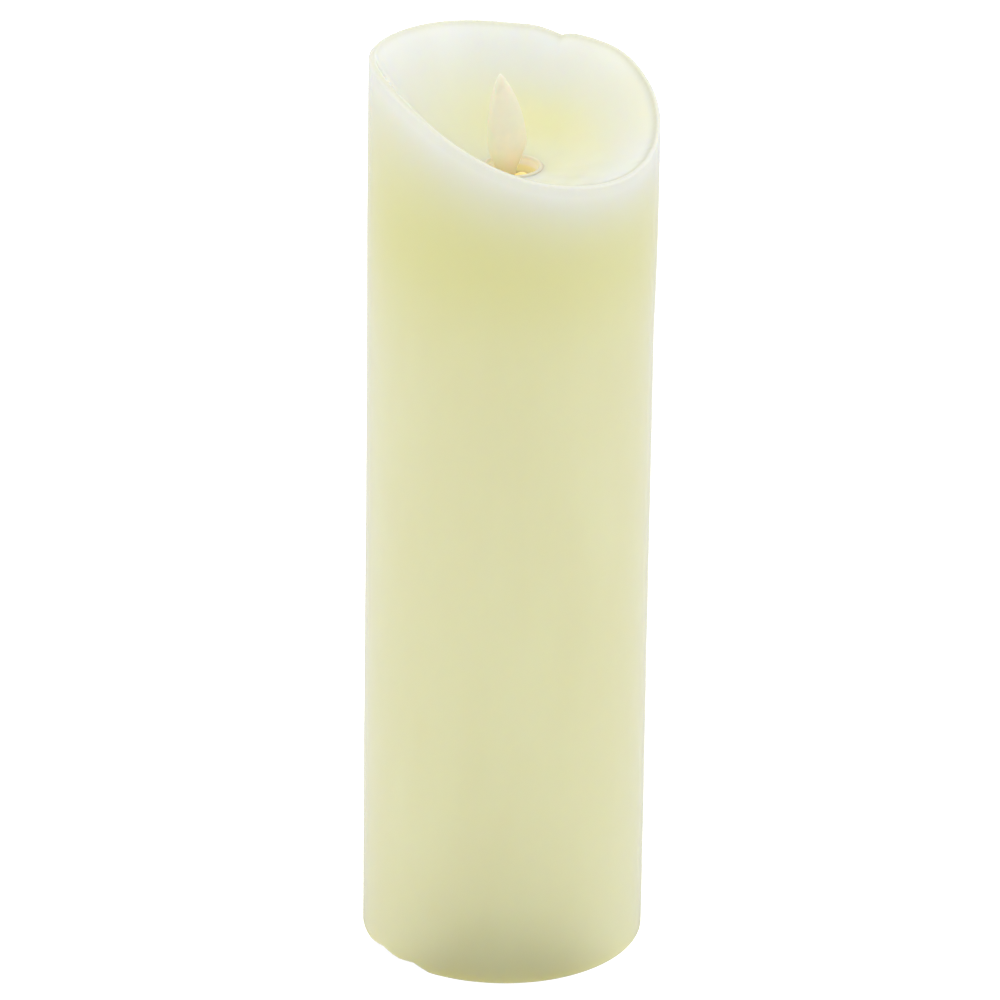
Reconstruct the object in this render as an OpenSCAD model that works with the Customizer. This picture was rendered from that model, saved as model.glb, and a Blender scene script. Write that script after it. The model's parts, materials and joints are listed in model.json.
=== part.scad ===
// Flameless pillar candle with a swaying flame blade.
//
// A wax pillar with a melted-looking bowl is cast around a plastic core. Under the bowl
// hangs the light unit: a split chamber that holds the blade on a wire, with a magnet and
// coil that make it sway and a diode that lights it. Two cells stand side by side in the
// battery box, behind a hinged door in the base plate.
//
// Frame: origin at the centre of the resting face, +Z up, -Y to the front. The light
// unit has its own frame, turned about Z to face the rim's low side, with z = 0 at the
// floor of the bowl.

/* [Wax pillar] */
// Diameter of the pillar
candle_d = 76.2; // [76:0.1:78]
// Height at the highest point of the rim
candle_h = 254; // [244:1:280]
// Thickness of the wax wall around the core
wax_wall = 5; // [4.6:0.1:5]
// Radius on the lower outer edge
foot_round = 0.6; // [0.5:0.1:1.5]
// Radius on the crest of the rim
rim_round = 1; // [0.8:0.1:1.4]

/* [Bowl] */
// Depth of the bowl's floor below the highest point of the rim
bowl_depth = 31; // [27:0.5:32]
// How steeply the wall of the bowl curves up: 1 is a cone
bowl_power = 1.6; // [1.3:0.1:2]
// Points around the rim
rim_points = 48; // [36:4:60]
// Rings of points from the mouth to the rim
bowl_rings = 7; // [5:1:9]

/* [Mouth ring] */
// Inner radius of the ring that lines the hole in the bowl
mouth_inner_r = 6.6; // [6.6:0.1:6.8]
// Outer radius of its lip
mouth_outer_r = 8.2; // [8.1:0.1:8.4]
// How far the lip stands above the wax
mouth_proud = 0.4; // [0.2:0.1:0.6]

/* [Flame blade] */
// Width of the blade at its widest
blade_w = 12.6; // [11:0.1:12.6]
// Thickness of the blade at its thickest
blade_t = 5.8; // [4:0.1:5.8]
// Height of the tip above the floor of the bowl
blade_tip = 26; // [22:0.2:27]
// Height of the widest place above the floor of the bowl
blade_belly = 5.7; // [5:0.1:7]
// How far the tip leans to one side
blade_lean = 2.8; // [0:0.1:3]
// Direction that the blade and the diode face, counter-clockwise from +X
unit_turn = -50; // [-180:1:180]

/* [Light unit] */
// Depth of the pivot wire below the floor of the bowl
pivot_depth = 14; // [13:0.5:15]
// Radius of the pivot wire
pivot_r = 0.45; // [0.4:0.05:0.5]
// Radius of the bore that swings on the wire
pivot_bore_r = 0.53; // [0.5:0.01:0.55]
// Outer radius of the chamber
chamber_r = 14.5; // [14:0.1:14.6]
// Radius of the circuit board
board_r = 22; // [21:0.5:24]

/* [Batteries] */
// Diameter of one cell
cell_d = 26.2; // [25:0.1:26.4]
// Length of one cell over its button
cell_h = 50; // [46:0.5:50]

/* [Base] */
// Height of the rubber feet below the base plate
foot_h = 1.5; // [1:0.1:2]
// Thickness of the base plate
base_t = 2.5; // [2.4:0.1:3]
// Thickness of the battery door
door_t = 2; // [1.6:0.1:2]
// Travel of the switch knob to each side of off
switch_travel = 2; // [1.5:0.1:2.2]

/* [Hidden] */

$fn = 96;
eps = 0.01;       // overshoot of a cutter past a face
gap = 0.1;        // play between a part and the part that it slips into
run = 0.4;        // room around a part that moves

wax = [0.89, 0.88, 0.72];
white_plastic = [0.93, 0.93, 0.9];
ivory_plastic = [0.93, 0.9, 0.82];
black_plastic = [0.12, 0.12, 0.13];
steel = [0.76, 0.77, 0.78];
copper = [0.78, 0.45, 0.25];
board_green = [0.12, 0.36, 0.22];

// Wax
candle_r = candle_d / 2;
wax_inner_r = candle_r - wax_wall;
floor_z = candle_h - bowl_depth;
cap_under = 6;                       // thickness of the wax under the mouth
mouth_hole_r = mouth_outer_r + gap;
bowl_flat_r = mouth_hole_r + 0.8;    // the floor is level out to here
rim_waves = [[10.75, 1, 143.4], [3.65, 2, 33.9], [0.6, 4, 31.4]]; // height, lobes, place

// Core
core_r = wax_inner_r - gap;
core_inner_r = core_r - 1.5;
plate_t = 3;
base_top = foot_h + base_t;
boss_r = 3.2;
boss_circle = core_inner_r - 2.9;
boss_angles = [60, 120, 270];
boss_top = 20;
screw_r = 1.15;
pilot_r = screw_r + 0.05;
clear_r = 1.6;
head_r = 2.3;
head_h = 1.4;
unit_screw = 5.2;                    // lengths of the screws under the head
lug_screw = 9;
board_screw = 8;
base_screw = 13;

// Light unit, in its own frame
blade_x = -2.3;                      // the blade hangs behind the centre
blade_foot = -2;
pivot_z = -pivot_depth;
chamber_inner_r = chamber_r - 2.5;
chamber_top = -cap_under - 2;
chamber_roof = 4;
chamber_low = -49;
board_t = 1.6;
board_top = chamber_low - 3.4;
board_post = 16.5;
ear_r = 3.6;
ear_circle = 18.5;
ear_angles = [45, 135, 225, 315];
ear_z = -cap_under - 2 * plate_t;
lug_x = 17.2;
lug_z = -26;
lug = [3, 5, 3.5];                   // half size of a lug around its screw
post_r = 3;                          // posts that the board is screwed to
post_h = 16;
led_r = 2.5;
led_h = 8.6;
led_tilt = 25;
led_tip = [2.6, 0, -0.8];
lead_r = 0.3;
lead_pitch = 2.54;
stem = [2.4, 5];                     // bar that carries the blade
stem_top = -1.5;                     // it ends inside the blade's foot
hub_r = 3.5;                         // hub around the pivot wire
hub_w = 3.4;
magnet_r = 3;
magnet_h = 4;
magnet_z = pivot_z - 23.5;
cup_r = 4;                           // cup that holds the magnet
cup_h = 4.6;
cup_z = magnet_z + 0.4;              // the magnet stands out below it
bob_r = 8.7;
bob_top = -40;
bob_core_r = 3.4;

// Battery bay
cell_x = cell_d / 2 + 0.5;
bay_r = cell_d / 2 + 0.2;
bay_wall = 1.2;
opening_r = bay_r + 0.2;
door_z = foot_h + gap;
door_top = door_z + door_t;
strap_t = 0.5;
strap_w = 8;
contact_r = 8;
spring_h = 4.2;
spring_turns = 3.5;
spring_wire_r = 0.4;
cable_r = 0.65;                      // over the insulation
nub_r = 3.2;
nub_h = 1.5;
strap_top = door_top + strap_t;
cell_play = 0.2;
cell_1_z = strap_top + spring_h;                // button up
cell_2_z = strap_top + cell_play;               // button down
bay_ceiling = cell_1_z + cell_h + strap_t;
box_top = bay_ceiling + 2;
box_flange_r = core_inner_r - 0.2;
rivet_r = 1.1;
rivet_top = box_top + 1.2;

// Hinge, snap and switch
hinge_y = -opening_r - 2.5;
hinge_z = foot_h + 1.5;
knuckle_r = 1.4;
knuckle_half = 6.9;
pin_r = 0.7;
ear_w = 4.2;
switch_y = 24;
switch_size = [13, 6.5, 6];
knob_size = [3.4, 2.8];
stake_x = 8.3;

pad_r = 3.5;
pad_sink = 0.5;                      // depth that a foot is let into the plate
pad_circle = 28.9;
pad_angles = [30, 150, 210, 330];

// ---------------------------------------------------------------- helpers

function total(v, i = 0) = i < len(v) ? v[i] + total(v, i + 1) : 0;
function unit(v) = v / norm(v);

// A solid between rings of points, each counter-clockwise seen from the next one.
module skin(rings) {
    n = len(rings[0]);
    last = len(rings) - 1;
    sides = [
        for (k = [0 : last - 1], i = [0 : n - 1])
            let (a = k * n + i, b = k * n + (i + 1) % n)
                each [[a, a + n, b + n], [a, b + n, b]]
    ];
    low_cap = [for (i = [0 : n - 1]) i];
    high_cap = [for (i = [n - 1 : -1 : 0]) last * n + i];
    polyhedron([for (ring = rings) each ring], concat(sides, [low_cap, high_cap]));
}

// Rings of a round wire of radius r along a path. No stretch runs along side.
function wire_ring(p, along, side, r, sides) =
    let (u = unit(cross(side, along)), v = cross(along, u))
        [for (i = [0 : sides - 1]) p + r * (cos(360 * i / sides) * u + sin(360 * i / sides) * v)];
module wire(path, r, side = [1, 0, 0], sides = 8) {
    end = len(path) - 1;
    skin([
        for (i = [0 : end])
            wire_ring(path[i], unit(path[min(i + 1, end)] - path[max(i - 1, 0)]), side, r, sides)
    ]);
}

// A path that leaves a and meets b upright, and bows sideways on the way.
function riser(a, b, bow, steps = 14) = [
    for (i = [0 : steps])
        let (t = i / steps, s = t * t * (3 - 2 * t), w = sin(180 * t))
            [a.x + (b.x - a.x) * s + bow.x * w * w, a.y + (b.y - a.y) * s + bow.y * w * w,
             a.z + (b.z - a.z) * t]
];

// A helix whose radius runs from r0 to r1 on the way up.
function helix(r0, r1, z0, z1, turns, steps = 12) = [
    for (i = [0 : turns * steps])
        let (t = i / (turns * steps), a = 360 * i / steps, r = r0 + (r1 - r0) * t)
            [r * cos(a), r * sin(a), z0 + (z1 - z0) * t]
];

module around(circle_r, angles) {
    for (a = angles) rotate(a) translate([circle_r, 0, 0]) children();
}

// The light unit's frame.
module in_unit() {
    translate([0, 0, floor_z]) rotate(unit_turn) children();
}

// Two discs side by side with straight sides between them.
module stadium(r, h) {
    for (x = [-cell_x, cell_x]) translate([x, 0, 0]) cylinder(r = r, h = h);
    translate([-cell_x, -r, 0]) cube([2 * cell_x, 2 * r, h]);
}

// A pan-head screw that points up, with the underside of its head at z = 0.
module screw(shank_r, length, head_r, head_h) {
    cylinder(r = shank_r, h = length);
    difference() {
        translate([0, 0, -head_h]) cylinder(r = head_r, h = head_h);
        for (a = [0, 90])
            rotate(a) translate([-head_r * 0.6, -0.3, -head_h - eps])
                cube([head_r * 1.2, 0.6, head_h * 0.5]);
    }
}

// ---------------------------------------------------------------- wax

function rim_wave(a) = total([for (w = rim_waves) w[0] * cos(w[1] * (a - w[2]))]);
rim_peak = max([for (a = [0 : 2 : 358]) rim_wave(a)]);
function rim_z(a) = candle_h - rim_peak + rim_wave(a);

// Outline of the bowl from the mouth over the crest, at one angle: [radius, height].
function bowl_outline(a) =
    let (crest = rim_z(a),
         slope = atan(bowl_power * (crest - floor_z) / (candle_r - bowl_flat_r)),
         edge_r = candle_r - rim_round * (1 + sin(slope)),
         edge_z = crest - rim_round * (1 - cos(slope)),
         round_r = candle_r - rim_round,
         round_z = crest - rim_round)
        concat(
            [[mouth_hole_r - 2, floor_z]],
            [for (i = [0 : bowl_rings])
                let (t = i / bowl_rings)
                    [bowl_flat_r + (edge_r - bowl_flat_r) * t,
                     floor_z + (edge_z - floor_z) * pow(t, bowl_power)]],
            [for (i = [1 : 3])
                let (b = (90 + slope) * (1 - i / 3) + 30 * i / 3)
                    [round_r + rim_round * cos(b), round_z + rim_round * sin(b)]],
            [[candle_r + 3, round_z], [candle_r + 3, candle_h + 5]]
        );

// Everything above the wax surface.
module bowl_cutter() {
    outlines = [for (i = [0 : rim_points - 1]) bowl_outline(360 * i / rim_points)];
    skin([
        for (k = [0 : len(outlines[0]) - 1]) [
            for (i = [0 : rim_points - 1])
                let (a = 360 * i / rim_points, p = outlines[i][k]) [p[0] * cos(a), p[0] * sin(a), p[1]]
        ]
    ]);
}

module wax_shell() color(wax) difference() {
    rotate_extrude() {
        square([candle_r - foot_round, candle_h]);
        translate([0, foot_round]) square([candle_r, candle_h - foot_round]);
        translate([candle_r - foot_round, foot_round]) circle(r = foot_round);
    }
    translate([0, 0, -eps]) cylinder(r = wax_inner_r, h = floor_z - cap_under + eps);
    cylinder(r = mouth_hole_r, h = candle_h);
    bowl_cutter();
}

// ---------------------------------------------------------------- core

module core_tube() color(ivory_plastic) difference() {
    union() {
        difference() {
            translate([0, 0, base_top]) cylinder(r = core_r, h = floor_z - cap_under - base_top);
            translate([0, 0, base_top - eps])
                cylinder(r = core_inner_r, h = floor_z - cap_under - plate_t - base_top + eps);
        }
        around(boss_circle, boss_angles)
            translate([0, 0, base_top + 2]) cylinder(r = boss_r, h = boss_top - base_top - 2);
    }
    translate([0, 0, floor_z - cap_under - plate_t - eps]) cylinder(r = chamber_r + 0.2, h = plate_t + 1);
    around(boss_circle, boss_angles) cylinder(r = pilot_r, h = boss_top - 2);
    in_unit() around(ear_circle, ear_angles)
        translate([0, 0, -cap_under - plate_t - eps]) cylinder(r = pilot_r, h = plate_t - 0.6);
}

module mouth_ring() color(ivory_plastic) in_unit() {
    lip = (mouth_outer_r - mouth_inner_r) / 2;
    difference() {
        rotate_extrude() {
            polygon([
                [mouth_inner_r + 0.9, chamber_top],
                [chamber_r - 0.1, chamber_top],
                [chamber_r - 0.1, -cap_under - gap],
                [mouth_outer_r, -cap_under - gap],
                [mouth_outer_r, mouth_proud - lip],
                [mouth_inner_r, mouth_proud - lip],
                [mouth_inner_r, -4],
                [mouth_inner_r + 0.9, -5.5],
            ]);
            translate([mouth_inner_r + lip, mouth_proud - lip]) circle(r = lip);
        }
        led_pocket();
    }
}

// ---------------------------------------------------------------- flame blade

// Share of the blade's full width at height z.
function blade_share(z) =
    z > blade_belly
        ? pow(cos(90 * (z - blade_belly) / (blade_tip + 0.05 - blade_belly)), 0.75)
        : 1 - 0.53 * pow((blade_belly - z) / (blade_belly - blade_foot), 1.2);
function blade_shift(z) = -blade_lean * pow(max(0, z - blade_belly) / (blade_tip - blade_belly), 1.1);
blade_heights = concat(
    [for (i = [0 : 5]) blade_foot + (blade_belly - blade_foot) * i / 6],
    [for (i = [0 : 9]) blade_belly + (blade_tip - blade_belly) * (1 - pow(1 - i / 9, 1.5))]
);

module blade() {
    skin([
        for (z = blade_heights) [
            for (i = [0 : 23])
                let (a = 15 * i, share = blade_share(z), deep = blade_t / 2 * pow(share, 0.8))
                    [deep * cos(a), blade_w / 2 * share * sin(a) + blade_shift(z), z]
        ]
    ]);
}

module flame() color(ivory_plastic) in_unit() translate([blade_x, 0, 0]) difference() {
    magnet_top = magnet_z + magnet_h;
    union() {
        blade();
        translate([-stem.x / 2, -stem.y / 2, magnet_top]) cube([stem.x, stem.y, stem_top - magnet_top]);
        translate([-hub_w / 2, 0, pivot_z]) rotate([0, 90, 0]) cylinder(r = hub_r, h = hub_w);
        translate([0, 0, cup_z]) cylinder(r = cup_r, h = cup_h);
    }
    translate([-hub_w, 0, pivot_z]) rotate([0, 90, 0]) cylinder(r = pivot_bore_r, h = 2 * hub_w);
    translate([0, 0, cup_z - eps]) cylinder(r = magnet_r, h = magnet_top - cup_z + eps);
}

module flame_magnet() color(steel) in_unit()
    translate([blade_x, 0, magnet_z]) cylinder(r = magnet_r, h = magnet_h);

module pivot_wire() color(steel) in_unit()
    translate([-chamber_r - 1, 0, pivot_z]) rotate([0, 90, 0]) cylinder(r = pivot_r, h = 2 * chamber_r + 2);

// ---------------------------------------------------------------- light unit

// Along the diode from its tip.
module along_led() {
    translate(led_tip) rotate([0, 180 - led_tilt, 0]) children();
}
module led_pocket() {
    along_led() translate([0, 0, 3.5]) cylinder(r = led_r + 0.6, h = led_h - 3.5);
}

module chamber() difference() {
    union() {
        translate([0, 0, chamber_low]) cylinder(r = chamber_r, h = chamber_top - chamber_low);
        around(ear_circle, ear_angles)
            translate([0, 0, ear_z]) cylinder(r = ear_r, h = plate_t);
        around(0, ear_angles)
            translate([chamber_r - 1, -ear_r, ear_z])
                cube([ear_circle - chamber_r + 1, 2 * ear_r, plate_t]);
        translate([-lug_x - lug.x, -lug.y, lug_z - lug.z])
            cube([2 * (lug_x + lug.x), 2 * lug.y, 2 * lug.z]);
        for (y = [-board_post, board_post])
            translate([0, y, board_top]) cylinder(r = post_r, h = post_h);
    }
    translate([0, 0, board_top])
        cylinder(r = chamber_inner_r, h = chamber_top - chamber_roof - board_top);
    // Slot in the roof for the swinging stem
    translate([blade_x - stem.x, -stem.y, chamber_top - chamber_roof - 1])
        cube([2 * stem.x, 2 * stem.y, chamber_roof + 2]);
    led_pocket();
    // Way out for the diode's leads
    along_led() translate([0, 0, led_h - 1]) cylinder(r = led_r - 0.5, h = led_h);
    translate([-chamber_r - 2, 0, pivot_z]) rotate([0, 90, 0])
        cylinder(r = pivot_r + 0.05, h = 2 * chamber_r + 4);
    around(ear_circle, ear_angles) translate([0, 0, ear_z - 1]) cylinder(r = clear_r, h = plate_t + 2);
    for (x = [-lug_x, lug_x])
        translate([x, -lug.y - eps, lug_z]) rotate([-90, 0, 0]) {
            cylinder(r = clear_r, h = lug.y + eps);
            cylinder(r = pilot_r, h = lug_screw + 0.2);
        }
    for (y = [-board_post, board_post])
        translate([0, y, board_top - eps]) cylinder(r = pilot_r, h = board_screw + 1);
}

// Half of the chamber: side is -1 for the front and 1 for the rear.
module chamber_half(side) color(white_plastic) in_unit() difference() {
    chamber();
    translate([-30, side < 0 ? 0 : -30, -60]) cube([60, 30, 60]);
}
module chamber_front() chamber_half(-1);
module chamber_rear() chamber_half(1);

module shell_screws() color(steel) in_unit()
    for (x = [-lug_x, lug_x])
        translate([x, -lug.y, lug_z]) rotate([-90, 0, 0]) screw(screw_r, lug_screw, head_r, head_h);

module unit_screws() color(steel) in_unit() around(ear_circle, ear_angles)
    translate([0, 0, ear_z]) screw(screw_r, unit_screw, head_r, head_h);

module led_dome() color([0.95, 0.74, 0.3]) in_unit() along_led() {
    translate([0, 0, led_r]) sphere(r = led_r);
    translate([0, 0, led_r]) cylinder(r = led_r, h = led_h - led_r);
    translate([0, 0, led_h - 1]) cylinder(r = led_r + 0.4, h = 1);
}

module led_leads() color(steel) in_unit() {
    back = led_tip + led_h * [sin(led_tilt), 0, -cos(led_tilt)];
    bend = back + 4.4 * [sin(led_tilt), 0, -cos(led_tilt)];
    for (y = [-lead_pitch / 2, lead_pitch / 2])
        wire([
            [back.x, y, back.z],
            [bend.x, y, bend.z],
            [bend.x + 0.3, y, bend.z - 2],
            [bend.x + 0.3, y, board_top],
        ], lead_r, [0, 1, 0]);
}

module coil_bobbin() color(white_plastic) in_unit() translate([blade_x, 0, 0]) difference() {
    union() {
        translate([0, 0, board_top]) cylinder(r = 5, h = chamber_low - board_top);
        translate([0, 0, chamber_low]) cylinder(r = bob_r, h = 1);
        translate([0, 0, chamber_low]) cylinder(r = bob_core_r, h = bob_top - chamber_low);
        translate([0, 0, bob_top - 1]) cylinder(r = bob_r, h = 1);
    }
    translate([0, 0, board_top + 1]) cylinder(r = 2, h = bob_top - board_top);
}

module coil_winding() color(copper) in_unit() translate([blade_x, 0, chamber_low + 1]) difference() {
    cylinder(r = bob_r - 0.7, h = bob_top - chamber_low - 2);
    translate([0, 0, -eps]) cylinder(r = bob_core_r, h = bob_top - chamber_low);
}

module coil_leads() color(copper) in_unit()
    for (side = [-1, 1])
        wire([
            [blade_x + side * 2, -bob_r + 0.9, chamber_low + 2.5],
            [blade_x + side * 2, -bob_r - 0.4, chamber_low + 1.5],
            [blade_x + side * 2, -bob_r - 0.6, chamber_low - 1],
            [blade_x + side * 2.4, -bob_r - 0.6, board_top],
        ], 0.2);

module driver_board() color(board_green) in_unit() difference() {
    translate([0, 0, board_top - board_t]) cylinder(r = board_r, h = board_t);
    for (y = [-board_post, board_post])
        translate([0, y, board_top - board_t - eps]) cylinder(r = clear_r, h = board_t + 1);
}

module board_screws() color(steel) in_unit()
    for (y = [-board_post, board_post])
        translate([0, y, board_top - board_t]) screw(screw_r, board_screw, head_r, head_h);

module controller_chip() in_unit() translate([18.3, 0, board_top]) {
    color(black_plastic) translate([-1.9, -2.5, 0.2]) cube([3.8, 5, 1.5]);
    color(steel) for (i = [-1.5 : 1.5], side = [-1, 1])
        translate([side * 2.3 - 0.5, i * 1.2 - 0.2, 0]) cube([1, 0.4, 0.5]);
}

module drive_transistor() in_unit() rotate(-30) translate([18, 0, board_top]) {
    color(black_plastic) translate([-0.7, -1.5, 0.1]) cube([1.4, 3, 1]);
    color(steel) {
        for (y = [-0.95, 0.95]) translate([-1.3, y - 0.2, 0]) cube([0.8, 0.4, 0.3]);
        translate([0.5, -0.2, 0]) cube([0.8, 0.4, 0.3]);
    }
}

module board_capacitor() color([0.16, 0.2, 0.34]) in_unit() translate([-17.9, 0, board_top])
    rotate_extrude() difference() {
        square([2.5, 7]);
        translate([2.6, 1.2]) circle(r = 0.3);
        translate([-1, 6.8]) square([2.8, 1]);
    }

module board_resistors() color(black_plastic) in_unit() for (a = [30, 150, 205, 300])
    rotate(a) translate([18.4, -1, board_top]) cube([1.25, 2, 0.6]);

// ---------------------------------------------------------------- batteries

module battery_box() color(black_plastic) difference() {
    union() {
        translate([0, 0, base_top]) cylinder(r = box_flange_r, h = 2);
        for (x = [-cell_x, cell_x])
            translate([x, 0, base_top]) cylinder(r = bay_r + bay_wall, h = box_top - base_top);
    }
    for (x = [-cell_x, cell_x]) translate([x, 0, base_top - 1]) {
        cylinder(r = bay_r, h = bay_ceiling - base_top + 1);
        cylinder(r = rivet_r + 0.1, h = box_top);
    }
    around(boss_circle, boss_angles) translate([0, 0, base_top - 1]) cylinder(r = clear_r, h = 4);
    translate([-stake_x - 2.4, switch_y - 4, base_top - 1]) cube([2 * stake_x + 4.8, 8, 4]);
    translate([-12.5, hinge_y - 3.6, base_top - 1]) cube([25, 5.1, 4]);
    // The wall between the bays leaves room for the door's strap
    translate([-strap_w, -strap_w / 2 - 1, base_top - 1])
        cube([2 * strap_w, strap_w + 2, strap_top - base_top + 1 + run]);
}

// One cell that stands on its flat end, with its button on top.
module cell() {
    color([0.2, 0.22, 0.24]) rotate_extrude() {
        square([cell_d / 2 - 0.6, cell_h - nub_h]);
        translate([0, 0.6]) square([cell_d / 2, cell_h - nub_h - 1.2]);
        for (z = [0.6, cell_h - nub_h - 0.6]) translate([cell_d / 2 - 0.6, z]) circle(r = 0.6);
    }
    color(steel) cylinder(r = nub_r, h = cell_h);
}
module battery_1() translate([cell_x, 0, cell_1_z]) cell();
module battery_2() translate([-cell_x, 0, cell_2_z + cell_h]) rotate([180, 0, 0]) cell();

module contact_plate_pos() color(steel) translate([cell_x, 0, 0]) {
    translate([0, 0, bay_ceiling - strap_t]) cylinder(r = contact_r, h = strap_t);
    translate([0, 0, bay_ceiling - strap_t]) cylinder(r = rivet_r, h = rivet_top - bay_ceiling + strap_t);
}

module contact_spring_neg() color(steel) translate([-cell_x, 0, 0]) {
    coil = helix(3, 7, bay_ceiling - strap_t - 0.3, cell_2_z + cell_h + 0.5, spring_turns);
    wire(coil, spring_wire_r, [0, 0, 1]);
    translate([0, 0, bay_ceiling - strap_t]) cylinder(r = contact_r, h = strap_t);
    translate([0, 0, bay_ceiling - strap_t]) cylinder(r = rivet_r, h = rivet_top - bay_ceiling + strap_t);
}

board_under = floor_z + board_top - board_t;
module wire_positive() color([0.75, 0.12, 0.1])
    wire(riser([cell_x, 0, rivet_top], [9, -4, board_under], [5, -7]), cable_r);
module wire_negative() color(black_plastic)
    wire(riser([-cell_x, 0, rivet_top], [-9, -2, board_under], [-6, 6]), cable_r);
module wires_switch() color([0.85, 0.7, 0.15]) for (side = [-1, 1]) {
    low = [side * 3, switch_y, base_top + switch_size.z + 1];
    wire(riser(low, [side * 2, 11, board_under], [side * 2, 3]), cable_r);
}

// ---------------------------------------------------------------- base

module base_plate() color(black_plastic) difference() {
    union() {
        translate([0, 0, foot_h]) cylinder(r = core_r - gap, h = base_t);
        for (x = [-knuckle_half - run - ear_w, knuckle_half + run])
            translate([x, hinge_y - 2, foot_h]) cube([ear_w, 3.35, base_t + 1]);
        for (x = [-stake_x, stake_x]) translate([x, switch_y, foot_h]) {
            cylinder(r = 1.5, h = base_t + switch_size.z);
            cylinder(r = 0.7, h = base_t + switch_size.z + 1.4);
        }
    }
    translate([0, 0, foot_h - 1]) stadium(opening_r, base_t + 2);
    // Room for the door's hinge tongue
    translate([-knuckle_half - run, hinge_y - 2.3, foot_h - 1]) cube([2 * (knuckle_half + run), 6, 6]);
    translate([-15, hinge_y, hinge_z]) rotate([0, 90, 0]) cylinder(r = pin_r + 0.02, h = 30);
    // Recess for the door's thumb lip
    translate([-4, opening_r - 1, foot_h - 1]) cube([8, 3.5, 2.4]);
    translate([-knob_size.x / 2 - switch_travel - 0.5, switch_y - knob_size.y / 2 - run, 0])
        cube([knob_size.x + 2 * switch_travel + 1, knob_size.y + 2 * run, 6]);
    around(boss_circle, boss_angles) {
        cylinder(r = 3, h = foot_h + head_h);
        cylinder(r = clear_r, h = 10);
    }
    around(pad_circle, pad_angles) cylinder(r = pad_r + gap, h = foot_h + pad_sink);
}

module base_screws() color(steel) around(boss_circle, boss_angles)
    translate([0, 0, foot_h + head_h]) screw(screw_r, base_screw, 2.5, 1.2);

module foot_pads() color([0.2, 0.2, 0.2]) around(pad_circle, pad_angles)
    rotate_extrude() difference() {
        square([pad_r, foot_h + pad_sink]);
        translate([pad_r, 0]) circle(r = 0.4);
    }

module hinge_pin() color(steel) translate([-knuckle_half - run - ear_w, hinge_y, hinge_z])
    rotate([0, 90, 0]) cylinder(r = pin_r, h = 2 * (knuckle_half + run + ear_w));

module switch_body() color(black_plastic) translate([0, switch_y, base_top]) difference() {
    translate([-switch_size.x / 2, -switch_size.y / 2, 0]) cube(switch_size);
    translate([-4.6, -knob_size.y / 2 - run, -1]) cube([9.2, knob_size.y + 2 * run, 5]);
}

module switch_board() color(board_green) translate([0, switch_y, base_top + switch_size.z]) difference() {
    translate([-10, -4, 0]) cube([20, 8, 1]);
    for (x = [-stake_x, stake_x]) translate([x, 0, -1]) cylinder(r = 0.8, h = 3);
}

module switch_knob() color(black_plastic) translate([0, switch_y, 0]) difference() {
    translate([-knob_size.x / 2, -knob_size.y / 2, foot_h - 0.8])
        cube([knob_size.x, knob_size.y, base_top + 3.4 - foot_h + 0.8]);
    for (x = [-0.9, 0, 0.9]) translate([x - 0.2, -2, foot_h - 1]) cube([0.4, 4, 0.5]);
}

module battery_door() color(black_plastic) difference() {
    union() {
        translate([0, 0, door_z]) stadium(opening_r - run, door_t);
        translate([-knuckle_half, hinge_y, door_z]) cube([2 * knuckle_half, opening_r - 9, door_t]);
        translate([-knuckle_half, hinge_y, hinge_z])
            rotate([0, 90, 0]) cylinder(r = knuckle_r, h = 2 * knuckle_half);
        // Thumb lip, and the snap ridge above it
        translate([-3.6, 10, door_z]) cube([7.2, opening_r - 10 + 1.6, 1.1]);
        translate([-3, opening_r - run - 1, door_z + 1.4]) cube([6, 1.25, 0.5]);
        for (x = [-5, 5]) translate([x, 0, door_z]) cylinder(r = 0.9, h = door_t + strap_t + 0.5);
    }
    translate([-knuckle_half - 1, hinge_y, hinge_z])
        rotate([0, 90, 0]) cylinder(r = pin_r + 0.08, h = 2 * knuckle_half + 2);
}

module door_strap() color(steel) translate([0, 0, door_top]) difference() {
    union() {
        for (x = [-cell_x, cell_x]) translate([x, 0, 0]) cylinder(r = contact_r - 0.5, h = strap_t);
        translate([-cell_x, -strap_w / 2, 0]) cube([2 * cell_x, strap_w, strap_t]);
    }
    for (x = [-5, 5]) translate([x, 0, -1]) cylinder(r = 1, h = 3);
}

module door_spring() color(steel) translate([cell_x, 0, 0])
    wire(helix(7, 3.5, strap_top + 0.4, cell_1_z - 0.6, spring_turns), spring_wire_r, [0, 0, 1]);

// ---------------------------------------------------------------- nodes

wax_shell();
core_tube();
mouth_ring();
flame();
flame_magnet();
pivot_wire();
chamber_front();
chamber_rear();
shell_screws();
unit_screws();
led_dome();
led_leads();
coil_bobbin();
coil_winding();
coil_leads();
driver_board();
board_screws();
controller_chip();
drive_transistor();
board_capacitor();
board_resistors();
battery_box();
battery_1();
battery_2();
contact_plate_pos();
contact_spring_neg();
wire_positive();
wire_negative();
wires_switch();
base_plate();
base_screws();
foot_pads();
hinge_pin();
switch_body();
switch_board();
switch_knob();
battery_door();
door_strap();
door_spring();
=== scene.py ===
import json
import math

import bpy
import numpy as np
from mathutils import Matrix, Vector


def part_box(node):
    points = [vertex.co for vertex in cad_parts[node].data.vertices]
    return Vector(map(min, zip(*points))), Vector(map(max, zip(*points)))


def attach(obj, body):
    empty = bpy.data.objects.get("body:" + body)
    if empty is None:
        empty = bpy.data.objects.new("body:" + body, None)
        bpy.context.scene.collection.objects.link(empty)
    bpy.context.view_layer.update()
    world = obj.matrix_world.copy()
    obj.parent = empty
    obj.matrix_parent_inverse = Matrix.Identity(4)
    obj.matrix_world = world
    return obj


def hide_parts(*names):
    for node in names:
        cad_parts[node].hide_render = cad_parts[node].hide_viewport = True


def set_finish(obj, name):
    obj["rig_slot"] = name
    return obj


# Flameless pillar candle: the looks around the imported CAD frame.
# All lengths are in metres. +Z is up, and the front faces -Y.

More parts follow.
